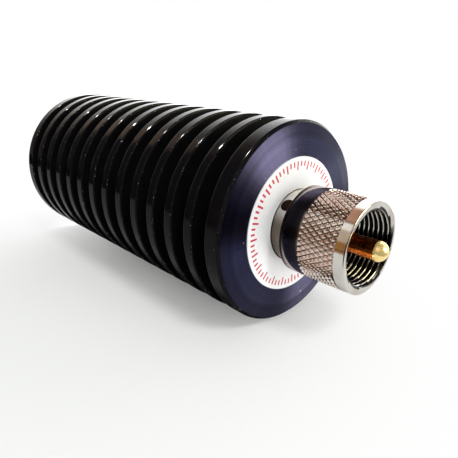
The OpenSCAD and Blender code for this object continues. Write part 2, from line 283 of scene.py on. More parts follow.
def turned_oxide(sink):
    """Black anodised aluminium, faced on a lathe.

    Dyed oxide over turning marks: a dark violet sheen that runs out from the axis in bright and dark
    sectors, broken by fine rings. Beyond the face zone, where the face falls back, its colour is painted
    darker, a painted shade for that ring's darker reflections. The rings are drawn 0.35 mm apart; the real
    ones are finer.
    """
    material, tree, shader = new_material("anodised_aluminium_faced")
    place, split, radius = axis_coordinates(tree)
    rings = add(
        tree, "TexNoise", {"noise_dimensions": "1D"}, {"W": radius, "Scale": scale_of(0.35), "Detail": 2.0}
    ).outputs["Fac"]
    stain = add(tree, "TexNoise", None, {"Vector": place, "Scale": scale_of(5), "Detail": 3.0}).outputs["Fac"]
    streak = add(
        tree, "MapRange", None,
        {"Value": rings, "From Min": 0.25, "From Max": 0.75, "To Min": 0.72, "To Max": 1.25},
    ).outputs[0]
    shade = add(
        tree, "MapRange", None,
        {"Value": stain, "From Min": 0.3, "From Max": 0.7, "To Min": 0.9, "To Max": 1.1},
    ).outputs[0]
    flat = add(tree, "CombineXYZ", None, {"Y": split.outputs["Y"], "Z": split.outputs["Z"]})
    spoke = add(tree, "VectorMath", {"operation": "NORMALIZE"}, {0: flat.outputs[0]}).outputs[0]
    spokes = add(
        tree, "TexNoise", None, {"Vector": spoke, "Scale": RIM_RADIUS * scale_of(0.8), "Detail": 2.0}
    ).outputs["Fac"]
    ray = add(
        tree, "MapRange", None,
        {"Value": spokes, "From Min": 0.3, "From Max": 0.7, "To Min": 0.9, "To Max": 1.1},
    ).outputs[0]
    blend = 0.2 * MM
    # The ring beyond the face zone is painted darker: painted shade.
    zone = add(
        tree, "MapRange", {"interpolation_type": "SMOOTHSTEP"},
        {"Value": radius, "From Min": sink.face_zone - blend, "From Max": sink.face_zone + blend,
         "To Min": 1.0, "To Max": 0.7},
    ).outputs[0]
    level = streak
    for part in (shade, ray, zone):
        level = add(tree, "Math", {"operation": "MULTIPLY"}, {0: level, 1: part}).outputs[0]
    oxide = add(
        tree, "VectorMath", {"operation": "SCALE"}, {0: tuple(sink.face_colour)[:3], "Scale": level}
    ).outputs[0]
    colour = dusted(tree, place, oxide, linear("#b5b2b4"), 0.87)
    rough = add(
        tree, "MapRange", None,
        {"Value": rings, "From Min": 0.25, "From Max": 0.75, "To Min": 0.33, "To Max": 0.42},
    ).outputs[0]
    tangent = add(tree, "Tangent", {"direction_type": "RADIAL", "axis": "X"}).outputs[0]
    set_inputs(tree, shader, {
        "Base Color": colour, "Roughness": rough, "Tangent": tangent,
        "Metallic": 1.0, "Anisotropic": 0.95, "Anisotropic Rotation": 0.25,
    })
    return material


def glossy_oxide(sink):
    """Black anodised aluminium, polished on the rims.

    Sealed oxide: nearly black, with a clear sharp gloss that is weak face on and strong at a low angle,
    a few specks of dust and faint tool marks along the axis. The marks are drawn 0.5 mm apart; the real
    ones are finer.
    """
    material, tree, shader = new_material("anodised_aluminium_rim")
    place, split, _ = axis_coordinates(tree)
    marks = add(
        tree, "TexNoise", {"noise_dimensions": "1D"},
        {"W": split.outputs["X"], "Scale": scale_of(0.5), "Detail": 2.0},
    ).outputs["Fac"]
    colour = dusted(tree, place, tuple(sink.rim_colour), linear("#8f8a88"), 0.86)
    rough = add(
        tree, "MapRange", None,
        {"Value": marks, "From Min": 0.3, "From Max": 0.7, "To Min": 0.07, "To Max": 0.14},
    ).outputs[0]
    bump = add(tree, "Bump", None, {"Height": marks, "Strength": 0.5, "Distance": 0.003 * MM}).outputs[0]
    set_inputs(tree, shader, {
        "Base Color": colour, "Roughness": rough, "Normal": bump, "IOR": 1.5, "Specular IOR Level": 0.05,
    })
    return material


def worn_oxide(sink):
    """Black anodised aluminium, rubbed on its edges.

    Handling thins the oxide there: a little paler in cloudy spots, with pale chips, and as smooth as the
    rims, so that a lamp leaves a small glint on each edge. The chips are drawn up to 0.3 mm across; the
    real ones are finer.
    """
    material, tree, shader = new_material("anodised_aluminium_edge")
    place = add(tree, "TexCoord").outputs["Object"]
    rub = add(tree, "TexNoise", None, {"Vector": place, "Scale": scale_of(1.5), "Detail": 4.0}).outputs["Fac"]
    colour = add(
        tree, "Mix", {"data_type": "RGBA"},
        {"Factor": rub, "A": tuple(sink.rim_colour), "B": linear("#121113")},
    ).outputs["Result"]
    rough = add(tree, "MapRange", None, {"Value": rub, "To Min": 0.07, "To Max": 0.11}).outputs[0]
    grit = add(
        tree, "TexNoise", None, {"Vector": place, "Scale": scale_of(0.4), "Detail": 1.0}
    ).outputs["Fac"]
    chip = add(tree, "MapRange", None, {"Value": grit, "From Min": 0.7, "From Max": 0.76}).outputs[0]
    colour = add(
        tree, "Mix", {"data_type": "RGBA"}, {"Factor": chip, "A": colour, "B": linear("#8d8a90")}
    ).outputs["Result"]
    set_inputs(tree, shader, {
        "Base Color": colour, "Roughness": rough, "IOR": 1.5, "Specular IOR Level": 0.04,
    })
    return material


def groove_oxide(sink):
    """Black anodised aluminium as cut in the grooves: matt, cloudy, painted darker as shade; gives almost
    nothing back.
    """
    material, tree, shader = new_material("anodised_aluminium_groove")
    place = add(tree, "TexCoord").outputs["Object"]
    cloud = add(tree, "TexNoise", None, {"Vector": place, "Scale": scale_of(2), "Detail": 3.0}).outputs["Fac"]
    # The grooves' colour is painted darker than the rims': painted shade between the fins.
    colour = add(
        tree, "Mix", {"data_type": "RGBA"},
        {"Factor": cloud, "A": linear("#040405"), "B": tuple(sink.rim_colour)},
    ).outputs["Result"]
    rough = add(tree, "MapRange", None, {"Value": cloud, "To Min": 0.4, "To Max": 0.6}).outputs[0]
    set_inputs(tree, shader, {
        "Base Color": colour, "Roughness": rough, "IOR": 1.5, "Specular IOR Level": 0.03,
    })
    return material


def printed_film(label):
    """White self-adhesive film with a printed ring of ticks.

    Satin white, faintly uneven, with flat red ink in evenly spaced marks, every third one full length.
    """
    material, tree, shader = new_material("label_film_printed")
    place, split, radius = axis_coordinates(tree)
    turn = add(
        tree, "Math", {"operation": "ARCTAN2"}, {0: split.outputs["Z"], 1: split.outputs["Y"]}
    ).outputs[0]
    count, long_every, short_share, soft_edge = label.tick_count, 3, 0.62, 0.03
    along = add(tree, "Math", {"operation": "MULTIPLY"}, {0: turn, 1: count / (2 * math.pi)}).outputs[0]
    off_tick = add(tree, "Math", {"operation": "PINGPONG"}, {0: along, 1: 0.5}).outputs[0]
    groups = add(tree, "Math", {"operation": "DIVIDE"}, {0: along, 1: long_every}).outputs[0]
    off_long = add(tree, "Math", {"operation": "PINGPONG"}, {0: groups, 1: 0.5}).outputs[0]
    pitch = 2 * math.pi * label.tick_radius / count
    half = label.tick_width / pitch / 2
    mark = add(
        tree, "MapRange", None,
        {"Value": off_tick, "From Min": half + soft_edge, "From Max": half - soft_edge},
    ).outputs[0]
    longer = add(tree, "Math", {"operation": "LESS_THAN"}, {0: off_long, 1: 0.5 / long_every}).outputs[0]
    outer = label.tick_radius + label.tick_length / 2
    short, full = outer - short_share * label.tick_length, outer - label.tick_length
    inner = add(tree, "MapRange", None, {"Value": longer, "To Min": short, "To Max": full}).outputs[0]
    inside = add(tree, "Math", {"operation": "LESS_THAN"}, {0: radius, 1: outer}).outputs[0]
    outside = add(tree, "Math", {"operation": "GREATER_THAN"}, {0: radius, 1: inner}).outputs[0]
    band = add(tree, "Math", {"operation": "MULTIPLY"}, {0: inside, 1: outside}).outputs[0]
    ink = add(tree, "Math", {"operation": "MULTIPLY"}, {0: band, 1: mark}).outputs[0]
    mottle = add(
        tree, "TexNoise", None, {"Vector": place, "Scale": scale_of(1.2), "Detail": 3.0}
    ).outputs["Fac"]
    paper = add(
        tree, "Mix", {"data_type": "RGBA"},
        {"Factor": mottle, "A": tuple(label.film_colour), "B": linear("#e9e8ea")},
    ).outputs["Result"]
    colour = add(
        tree, "Mix", {"data_type": "RGBA"}, {"Factor": ink, "A": paper, "B": tuple(label.tick_colour)}
    ).outputs["Result"]
    rough = add(tree, "MapRange", None, {"Value": mottle, "To Min": 0.38, "To Max": 0.5}).outputs[0]
    set_inputs(tree, shader, {"Base Color": colour, "Roughness": rough, "IOR": 1.48})
    return material


def bright_plate(name, colour, tarnish, roughness, smear_mm, film=None, metallic=1.0):
    """Plated metal: a clear mirror, a little duller and warmer in soft smears, with fine turning marks.

    A film is painted shade that darkens one side of the metal or its hollows. It is four values: what it
    follows, which is X along the axis, Z over it or the radius, the place where the metal is unshaded, the
    place where it is fully shaded, and the shade's colour. A metallic under 1 is for unshaded metal that
    looks paler than a plain mirror; under the painted shade it is 1.
    The marks are drawn 0.3 mm apart; the real ones are finer.
    """
    material, tree, shader = new_material(name)
    place, split, radius = axis_coordinates(tree)
    smear = add(
        tree, "TexNoise", None, {"Vector": place, "Scale": scale_of(smear_mm), "Detail": 4.0}
    ).outputs["Fac"]
    marks = add(
        tree, "TexNoise", {"noise_dimensions": "1D"},
        {"W": split.outputs["X"], "Scale": scale_of(0.3), "Detail": 1.0},
    ).outputs["Fac"]
    amount = add(tree, "MapRange", None, {"Value": smear, "From Min": 0.45, "From Max": 0.75}).outputs[0]
    tint = add(
        tree, "Mix", {"data_type": "RGBA"}, {"Factor": amount, "A": tuple(colour), "B": tarnish}
    ).outputs["Result"]
    # A film paints shade over the metal's colour.
    if film:
        follows, unshaded, shaded, film_colour = film
        along = radius if follows == "radius" else split.outputs[follows]
        shade_amount = add(
            tree, "MapRange", {"interpolation_type": "SMOOTHSTEP"},
            {"Value": along, "From Min": unshaded, "From Max": shaded},
        ).outputs[0]
        tint = add(
            tree, "Mix", {"data_type": "RGBA"}, {"Factor": shade_amount, "A": tint, "B": film_colour}
        ).outputs["Result"]
        if metallic < 1:
            metallic = add(tree, "MapRange", None, {"Value": shade_amount, "To Min": metallic}).outputs[0]
    rough = add(
        tree, "MapRange", None,
        {"Value": smear, "From Min": 0.3, "From Max": 0.7,
         "To Min": roughness * 0.7, "To Max": roughness * 1.4},
    ).outputs[0]
    bump = add(tree, "Bump", None, {"Height": marks, "Strength": 0.4, "Distance": 0.002 * MM}).outputs[0]
    set_inputs(tree, shader, {"Base Color": tint, "Roughness": rough, "Normal": bump, "Metallic": metallic})
    return material


# Spring steel, which two pieces share.
BARE_STEEL = {"colour": linear("#8b8b8d"), "tarnish": linear("#6f6a66"), "roughness": 0.3, "smear_mm": 2}


def dull_solid(name, colour, shade, roughness, grain_mm, ior):
    """Moulded or fired solid: one colour, faintly clouded, with a fine grain in its gloss."""
    material, tree, shader = new_material(name)
    place = add(tree, "TexCoord").outputs["Object"]
    grain = add(
        tree, "TexNoise", None, {"Vector": place, "Scale": scale_of(grain_mm), "Detail": 4.0}
    ).outputs["Fac"]
    tint = add(
        tree, "Mix", {"data_type": "RGBA"}, {"Factor": grain, "A": tuple(colour), "B": shade}
    ).outputs["Result"]
    rough = add(
        tree, "MapRange", None, {"Value": grain, "To Min": roughness * 0.8, "To Max": roughness * 1.2}
    ).outputs[0]
    set_inputs(tree, shader, {"Base Color": tint, "Roughness": rough, "IOR": ior})
    return material


def paint_nodes(finishes):
    """Gives CAD nodes their finishes, listed by the node's name; their meshes stay as they are."""
    for name, material in finishes.items():
        node = frame["nodes"][name]
        if not node.material_slots:
            node.data.materials.append(material)
        for place in node.material_slots:
            place.material = material


def around_axis(x, radius, turn):
    """Points of a turned surface: x along the axis, radius out from it, turn the angle from +Y to +Z."""
    x, radius, turn = np.broadcast_arrays(x, radius, turn)
    return np.stack([x, AXIS_Y + radius * np.cos(turn), AXIS_Z + radius * np.sin(turn)], axis=-1)


def full_turn(columns):
    """Angles of a whole turn as one row; the last column lies on the first and is welded to it."""
    return np.linspace(0, 2 * np.pi, columns + 1)[None, :]


def turned(section, columns):
    """A half section carried round the axis as a grid of points, one row for each point of the section."""
    return around_axis(section[:, :1], section[:, 1:], full_turn(columns))


def rounded_section(corners, steps):
    """A half section whose corners become arcs.

    Each corner is x, radius and round. The arc touches both sides at round / tan(half the corner's angle),
    and its spokes swing evenly from the first to the last. One more point on each side, a little away
    from the arc, keeps the flats beside it flat in shading.
    """
    points = np.array([corner[:2] for corner in corners], float)
    made = [points[:1]]
    for before, (x, radius, round_radius), after in zip(points, corners[1:-1], points[2:]):
        here = np.array([x, radius])
        if not round_radius:
            made.append(here[None])
            continue
        back, on = before - here, after - here
        back, on = back / np.linalg.norm(back), on / np.linalg.norm(on)
        half = np.arccos(np.clip(back @ on, -1, 1)) / 2
        middle = (back + on) / np.linalg.norm(back + on)
        centre = here + middle * round_radius / np.sin(half)
        reach = round_radius / np.tan(half)
        first, last = here + back * reach - centre, here + on * reach - centre
        swing = np.pi - 2 * half
        share = np.linspace(0, 1, steps + 1)[:, None]
        arc = centre + (np.sin((1 - share) * swing) * first + np.sin(share * swing) * last) / np.sin(swing)
        hold = HOLD_SHARE * round_radius
        made += [arc[:1] + back * hold, arc, arc[-1:] + on * hold]
    made.append(points[-1:])
    return np.concatenate(made)


def quads(rows, columns):
    """Corner numbers of the squares between neighbouring points of a grid."""
    corner = np.arange(rows * columns).reshape(rows, columns)
    square = [corner[:-1, :-1], corner[1:, :-1], corner[1:, 1:], corner[:-1, 1:]]
    return np.stack(square, axis=-1).reshape(-1, 4)


def make_piece(name, node, body, patches, materials, sharp_degrees):
    """Joins patches of points and faces into one closed mesh that stands for a CAD node.

    Doubles are merged, which closes seams and poles; faces are then turned outwards, and edges that bend
    more than sharp_degrees stay sharp.
    """
    points = np.concatenate([grid.reshape(-1, 3) for grid, _ in patches])
    first = np.cumsum([0] + [grid.size // 3 for grid, _ in patches[:-1]])
    faces = [face for start, (_, corners) in zip(first, patches) for face in (corners + start).tolist()]
    mesh = bpy.data.meshes.new(name)
    mesh.from_pydata(points.tolist(), [], faces)
    shape = bmesh.new()
    shape.from_mesh(mesh)
    bmesh.ops.remove_doubles(shape, verts=shape.verts, dist=WELD)
    bmesh.ops.dissolve_degenerate(shape, edges=shape.edges, dist=WELD)
    bmesh.ops.recalc_face_normals(shape, faces=shape.faces)
    shape.to_mesh(mesh)
    shape.free()
    mesh.shade_smooth()
    mesh.set_sharp_from_angle(angle=math.radians(sharp_degrees))
    for material in materials:
        mesh.materials.append(material)
    piece = bpy.data.objects.new(name, mesh)
    bpy.context.scene.collection.objects.link(piece)
    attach(piece, body)
    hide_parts(node)
    return piece


def face_middles(piece):
    """Each face's middle as its place along the axis and its distance from it."""
    middle = np.zeros(len(piece.data.polygons) * 3, np.float32)
    piece.data.polygons.foreach_get("center", middle)
    x, y, z = middle.reshape(-1, 3).T
    return x, np.hypot(y - AXIS_Y, z - AXIS_Z)


def heat_sink_section(sink):
    """Half section of the heat sink from the axis at the rear, over every rim, to the chamber's floor.

    The grooves are equal: what the flanges and fins leave of the length is shared out between them.
    """
    thick = [sink.rear_flange] + [sink.fin_thickness] * sink.fin_count + [sink.front_flange]
    groove = (SINK_FRONT - SINK_REAR - sum(thick)) / (sink.fin_count + 1)
    start = SINK_REAR + np.concatenate([[0], np.cumsum(np.array(thick[:-1]) + groove)])
    edge, core, rim = sink.edge_round, sink.core_radius, RIM_RADIUS
    corners = [(SINK_REAR, 0, 0)]
    for low, high in zip(start[:-1], start[:-1] + thick[:-1]):
        corners += [(low, rim, edge), (high, rim, edge), (high, core, 0), (high + groove, core, 0)]
    seat, floor = SINK_FRONT - sink.seat_depth, SINK_FRONT - sink.chamber_depth
    corners += [
        (start[-1], rim, edge),
        (SINK_FRONT - sink.face_fall - sink.front_chamfer, rim, edge / 2),
        (SINK_FRONT - sink.face_fall, rim - sink.front_chamfer, edge / 2),
        (SINK_FRONT, sink.face_zone, edge),
        (SINK_FRONT, sink.seat_radius, 0),
        (seat, sink.seat_radius, 0),
        (seat, sink.chamber_radius, 0),
        (floor, sink.chamber_radius, 0),
        (floor, 0, 0),
    ]
    return rounded_section(corners, SINK_ARC_STEPS)


def knurl_height(column, row):
    """Height of the diamonds, 0 in the grooves and 1 at the tips.

    Two families of grooves run along column + row and column - row. Each gives a triangle wave, the lower
    of the two is the surface, and the tips are rounded by a hyperbola, as plating leaves them.
    """
    tip = 0.12
    rise = np.abs((column + row + 1) % 2 - 1)
    fall = np.abs((column - row + 1) % 2 - 1)
    depth = 1 - np.minimum(rise, fall)
    return (1 - np.hypot(depth, tip)) / (1 - tip)


def knurl_faces(rows, columns):
    """Triangles of the knurl's grid: each square is split along the groove that crosses its half diamond."""
    a, b, c, d = quads(rows, columns).T
    row, column = np.divmod(np.arange((rows - 1) * (columns - 1)), columns - 1)
    level = (row // STEPS_PER_HALF_DIAMOND + column // STEPS_PER_HALF_DIAMOND) % 2 == 0
    one = np.where(level[:, None], np.stack([a, b, c], -1), np.stack([a, b, d], -1))
    two = np.where(level[:, None], np.stack([a, c, d], -1), np.stack([b, c, d], -1))
    return np.concatenate([one, two])


def thread_radius(turns, plug):
    """Radius of the inside thread: a V whose crest is rounded by a hyperbola and whose root is cut flat."""
    crest, root = 0.15, 0.92
    away = np.abs(2 * (turns % 1) - 1)
    share = (np.hypot(away, crest) - crest) / (np.hypot(1, crest) - crest)
    return plug.thread_minor + (plug.thread_major - plug.thread_minor) * np.minimum(share, root) / root


def nut_patches(plug):
    """The nut as patches on one set of columns: rear band, knurl, front band, thread and running bore."""
    columns = plug.knurl_count * 2 * STEPS_PER_HALF_DIAMOND
    turn = full_turn(columns)
    knurl_rear = NUT_REAR + plug.rear_band
    knurl_front = knurl_rear + plug.knurl_length
    mouth = plug.nut_radius - plug.front_edge - plug.rim_width
    lip = NUT_REAR + plug.lip_length

    rear = rounded_section([
        (NUT_REAR, plug.run_radius, 0),
        (NUT_REAR, plug.nut_radius, plug.rear_edge),
        (knurl_rear, plug.nut_radius, 0),
    ], NUT_ARC_STEPS)
    row = np.linspace(0, plug.knurl_rows, plug.knurl_rows * STEPS_PER_HALF_DIAMOND + 1)[:, None]
    column = np.linspace(0, 2 * plug.knurl_count, columns + 1)[None, :]
    knurl_x = knurl_rear + row / plug.knurl_rows * plug.knurl_length
    knurl_r = plug.knurl_root + plug.knurl_depth * knurl_height(column, row)
    front = rounded_section([
        (knurl_front, plug.nut_radius, 0),
        (NUT_FRONT, plug.nut_radius, plug.front_edge),
        (NUT_FRONT, mouth, 0),
    ], NUT_ARC_STEPS)

    turns = (NUT_FRONT - lip) / plug.thread_pitch
    step = 1 / THREAD_ROWS_PER_TURN
    along = np.arange(-1, turns + step, step)[:, None] + turn / (2 * np.pi)
    along = np.clip(along, 0, turns)
    thread_x = lip + along * plug.thread_pitch
    thread_r = np.maximum(thread_radius(along, plug), mouth - plug.mouth_slope * (NUT_FRONT - thread_x))
    bore = np.array([(lip, plug.run_radius), (NUT_REAR, plug.run_radius)])

    ring = np.ones_like(turn)
    grids = [
        turned(rear, columns),
        around_axis(knurl_rear, np.concatenate([plug.nut_radius * ring, knurl_r[:1]]), turn),
        around_axis(knurl_front, np.concatenate([knurl_r[-1:], plug.nut_radius * ring]), turn),
        turned(front, columns),
        around_axis(thread_x, thread_r, turn),
        around_axis(lip, np.concatenate([thread_r[:1], plug.run_radius * ring]), turn),
        turned(bore, columns),
    ]
    knurl = around_axis(knurl_x, knurl_r, turn)
    return [(grid, quads(*grid.shape[:2])) for grid in grids] + [(knurl, knurl_faces(*knurl.shape[:2]))]


class DUMMY_LOAD_OT_heat_sink(bpy.types.Operator):
    """Turns the finned heat sink and anodises it"""

    bl_idname = "dummy_load.heat_sink"
    bl_label = "Heat sink"

    def execute(self, context):
        sink = context.scene.dummy_load_heat_sink
        grid = turned(heat_sink_section(sink), SINK_COLUMNS)
        piece = make_piece(
            "heat_sink_turned", "heat_sink", "load",
            [(grid, quads(*grid.shape[:2]))],
            [glossy_oxide(sink), worn_oxide(sink), groove_oxide(sink), turned_oxide(sink)],
            sharp_degrees=35,
        )
        middle, radius = face_middles(piece)
        near = 0.005 * MM
        front = (middle > SINK_FRONT - sink.face_fall) & (radius < RIM_RADIUS - sink.front_chamfer)
        faced = (middle < SINK_REAR + near) | front & (radius > sink.seat_radius)
        edge = np.where(middle > SINK_FRONT - sink.front_flange, sink.front_chamfer, sink.edge_round)
        finish = (radius < RIM_RADIUS - near) + 1 * (radius < RIM_RADIUS - edge)
        piece.data.polygons.foreach_set("material_index", np.where(faced, 3, finish).astype(np.int32))
        return {"FINISHED"}


class DUMMY_LOAD_OT_label_ring(bpy.types.Operator):
    """Prints the ring on the front face"""

    bl_idname = "dummy_load.label_ring"
    bl_label = "Label ring"

    def execute(self, context):
        paint_nodes({"label_ring": printed_film(context.scene.dummy_load_label)})
        return {"FINISHED"}


class DUMMY_LOAD_OT_coupling_nut(bpy.types.Operator):
    """Turns, knurls and threads the coupling nut"""

    bl_idname = "dummy_load.coupling_nut"
    bl_label = "Coupling nut"

    def execute(self, context):
        plug = context.scene.dummy_load_plug
        pit_depth, rear_shade_start, rear_shade_full = 0.09 * MM, 1.1 * MM, 0.6 * MM
        root_shade_start, root_shade_full = 0.01 * MM, 0.22 * MM
        crest, root = plug.thread_minor, plug.knurl_root
        # The knurl's groove bottoms are painted darker: painted shade in the pits.
        pit_shade = ("radius", root + pit_depth, root, linear("#6e5f57"))
        # The rear band is painted nearly black towards its rear edge: painted shade in the gap by the neck.
        rear_shade = ("X", NUT_REAR + rear_shade_start, NUT_REAR + rear_shade_full, linear("#1a1716"))
        # The thread is painted dark from just above its crests to its roots: painted shade in its hollows.
        root_shade = ("radius", crest + root_shade_start, crest + root_shade_full, linear("#15120f"))
        nickel, tarnish = plug.nickel_colour, linear("#b9ada3")
        finishes = [
            bright_plate("nickel_plate_band", nickel, tarnish, roughness=0.1, smear_mm=6),
            bright_plate(
                "nickel_plate_knurl", linear("#e2d6ce"), linear("#c9b5aa"), roughness=0.15, smear_mm=3,
                film=pit_shade,
            ),
            bright_plate("nickel_plate_thread", nickel, tarnish, roughness=0.1, smear_mm=6, film=root_shade),
            # The rear band is a darker copy of the same nickel: painted shade for its darker reflections.
            bright_plate(
                "nickel_plate_rear_band_shaded", linear("#9a9592"), linear("#857d77"), roughness=0.08, smear_mm=6,
                film=rear_shade,
            ),
        ]
        piece = make_piece(
            "coupling_nut_knurled", "coupling_nut", "nut",
            nut_patches(plug), finishes, sharp_degrees=60,
        )
        middle, radius = face_middles(piece)
        rear, near = NUT_REAR + plug.rear_band, 0.02 * MM
        knurled = (middle > rear) & (middle < rear + plug.knurl_length) & (radius > plug.knurl_root - near)
        threaded = (middle > NUT_REAR + plug.lip_length) & (radius < plug.thread_major + near)
        finish = knurled + 2 * threaded + 3 * (middle < rear)
        piece.data.polygons.foreach_set("material_index", finish.astype(np.int32))
        return {"FINISHED"}


class DUMMY_LOAD_OT_plug(bpy.types.Operator):
    """Plates the plug's body, pin and ring, and moulds its insulators"""

    bl_idname = "dummy_load.plug"
    bl_label = "Plug"

    def execute(self, context):
        plug = context.scene.dummy_load_plug
        neck_shade_start, neck_shade_full, pin_blend = 6.5 * MM, 2.0 * MM, 0.1 * MM
        shoulder = PIN_FRONT - plug.nose_length
        # The plug's body is painted darker towards the bottom of its neck: painted shade.
        neck_shade = ("Z", neck_shade_start, neck_shade_full, linear("#72685f"))
        # The pin is painted dark orange-brown behind its nose: painted shade where it sits inside the nut.
        shank_shade = ("X", shoulder, shoulder - pin_blend, linear("#9c5424"))
        resin = dull_solid(
            "phenolic_resin", plug.resin_colour, linear("#3b2113"), roughness=0.4, grain_mm=1.5, ior=1.6
        )
        paint_nodes({
            "plug_body": bright_plate(
                "nickel_plate_body", linear("#dedbd8"), linear("#c0b8b0"), roughness=0.14, smear_mm=5,
                film=neck_shade,
            ),
            "centre_pin": bright_plate(
                "gold_plate_pin", plug.gold_colour, linear("#f0c878"), roughness=0.25, smear_mm=3,
                film=shank_shade, metallic=0.6,
            ),
            "retaining_ring": bright_plate("spring_steel", **BARE_STEEL),
            "front_insulator": resin,
            "rear_insulator": resin,
        })
        return {"FINISHED"}


class DUMMY_LOAD_OT_resistor(bpy.types.Operator):
    """Finishes the flange resistor and its fasteners"""

    bl_idname = "dummy_load.resistor"
    bl_label = "Resistor"

    def execute(self, context):
        ceramic = dull_solid(
            "alumina", linear("#e8e6dd"), linear("#d9d6c8"), roughness=0.5, grain_mm=0.4, ior=1.76
        )
        paint_nodes({
            "resistor_flange": bright_plate(
                "plated_copper", linear("#cbc6bd"), linear("#b08f75"), roughness=0.25, smear_mm=3
            ),
            "resistor_substrate": ceramic,
            "resistor_cap": ceramic,
            "resistor_tab": bright_plate(
                "silver_plate", linear("#e0ddd5"), linear("#b7a98f"), roughness=0.2, smear_mm=2
            ),
            "resistor_screws": bright_plate(
                "zinc_steel", linear("#bcbcc0"), linear("#9a968f"), roughness=0.28, smear_mm=2
            ),
            "spring_washers": bright_plate("spring_steel_washer", **BARE_STEEL),
        })
        return {"FINISHED"}


def bench_material(stage):
    """White paper: matt and shadowed near the object, plain white far off.

    Gloss sees more of it, as flat glowing colours: the table past the paper's edges, brown in front and dark
    at the sides, a dark strip under the object that is painted shade, and a white sheet at the back whose
    far part glows brighter, a painted pool of light.
    """
    material = bpy.data.materials.new("bench_paper")
    material.use_nodes = True
    tree = material.node_tree
    tree.nodes.clear()
    place = add(tree, "TexCoord").outputs["Object"]
    split = add(tree, "SeparateXYZ", None, {0: place})
    rays = add(tree, "LightPath")
    fibre = add(tree, "TexNoise", None, {"Vector": place, "Scale": scale_of(2), "Detail": 3.0}).outputs["Fac"]
    tint = add(
        tree, "Mix", {"data_type": "RGBA"},
        {"Factor": fibre, "A": tuple(stage.paper_colour), "B": linear("#f1f2f0")},
    ).outputs["Result"]
    paper = add(tree, "BsdfDiffuse", None, {"Color": tint}).outputs[0]
    away = add(
        tree, "VectorMath", {"operation": "DISTANCE"}, {0: place, 1: tuple(stage.paper_middle)}
    ).outputs["Value"]
    fade = add(
        tree, "MapRange", {"interpolation_type": "SMOOTHSTEP"},
        {"Value": away, "From Min": stage.fade_start, "From Max": stage.fade_end, "To Min": 0.15},
    ).outputs[0]
    seen = add(
        tree, "Math", {"operation": "MULTIPLY"}, {0: fade, 1: rays.outputs["Is Camera Ray"]}
    ).outputs[0]
    white = add(tree, "Emission", None, {"Color": (1, 1, 1, 1), "Strength": 1.0}).outputs[0]
    shown = add(tree, "MixShader", None, {0: seen, 1: paper, 2: white}).outputs[0]
    left, front, back, far, inside = (
        add(tree, "Math", {"operation": test}, {0: split.outputs[axis], 1: limit}).outputs[0]
        for axis, test, limit in (
            ("X", "LESS_THAN", stage.paper_left),
            ("Y", "LESS_THAN", stage.paper_front),
            ("Y", "LESS_THAN", stage.paper_back),
            ("Y", "GREATER_THAN", stage.lit_back),
            ("X", "LESS_THAN", stage.lit_right),
        )
    )
    edge = add(
        tree, "Math", {"operation": "MULTIPLY_ADD"},
        {0: split.outputs["Y"], 1: stage.paper_skew, 2: stage.paper_right},
    ).outputs[0]
    right = add(tree, "Math", {"operation": "GREATER_THAN"}, {0: split.outputs["X"], 1: edge}).outputs[0]
    aside = add(tree, "Math", {"operation": "ABSOLUTE"}, {0: split.outputs["Y"]}).outputs[0]
    # Gloss sees the floor under the object as a dark strip: painted shade.
    strip_edge, strip_middle = 1.15 * RIM_RADIUS, 0.7 * RIM_RADIUS
    shaded = add(
        tree, "MapRange", {"interpolation_type": "SMOOTHSTEP"},
        {"Value": aside, "From Min": strip_edge, "From Max": strip_middle, "To Max": 0.92},
    ).outputs[0]
    beneath = add(
        tree, "Math", {"operation": "COMPARE"},
        {0: split.outputs["X"], 1: (SINK_FRONT + SINK_REAR) / 2, 2: (SINK_FRONT - SINK_REAR) / 2},
    ).outputs[0]
    right, under, lit_glow = (
        add(tree, "Math", {"operation": "MULTIPLY"}, {0: one, 1: other}).outputs[0]
        for one, other in ((right, back), (shaded, beneath), (far, inside))
    )
    side = left
    for part in (right, under):
        side = add(tree, "Math", {"operation": "MAXIMUM"}, {0: side, 1: part}).outputs[0]
    beyond = side
    for part in (front, lit_glow):
        beyond = add(tree, "Math", {"operation": "MAXIMUM"}, {0: beyond, 1: part}).outputs[0]
    mirrored = add(
        tree, "Math", {"operation": "MULTIPLY"}, {0: beyond, 1: rays.outputs["Is Glossy Ray"]}
    ).outputs[0]
    dark = add(tree, "Math", {"operation": "GREATER_THAN"}, {0: side, 1: 0.0}).outputs[0]
    wood = add(
        tree, "Mix", {"data_type": "RGBA"}, {"Factor": dark, "A": linear("#b48d66"), "B": linear("#141312")}
    ).outputs["Result"]
    # The lit part glows for gloss at lit_level: a painted pool of light.
    bright = (stage.lit_level,) * 3 + (1,)
    seen_there = add(
        tree, "Mix", {"data_type": "RGBA"}, {"Factor": lit_glow, "A": wood, "B": bright}
    ).outputs["Result"]
    table = add(tree, "Emission", None, {"Color": seen_there, "Strength": 1.0}).outputs[0]
    surface = add(tree, "MixShader", None, {0: mirrored, 1: shown, 2: table}).outputs[0]
    add(tree, "OutputMaterial", None, {"Surface": surface})
    return material


# The room that gloss sees: the direction in which it gets brighter, and its linear colours on the way.
ROOM_RISE = (-0.5, 1.0, -0.4)
ROOM_RAMP = (
    (0.0, (0.02, 0.017, 0.014, 1)),
    (0.07, (0.15, 0.13, 0.1, 1)),
    (0.29, (0.4, 0.375, 0.34, 1)),
    (0.5, (0.78, 0.77, 0.75, 1)),
    (0.72, (0.95, 0.95, 0.95, 1)),
    (1.0, (0.75, 0.75, 0.76, 1)),
)

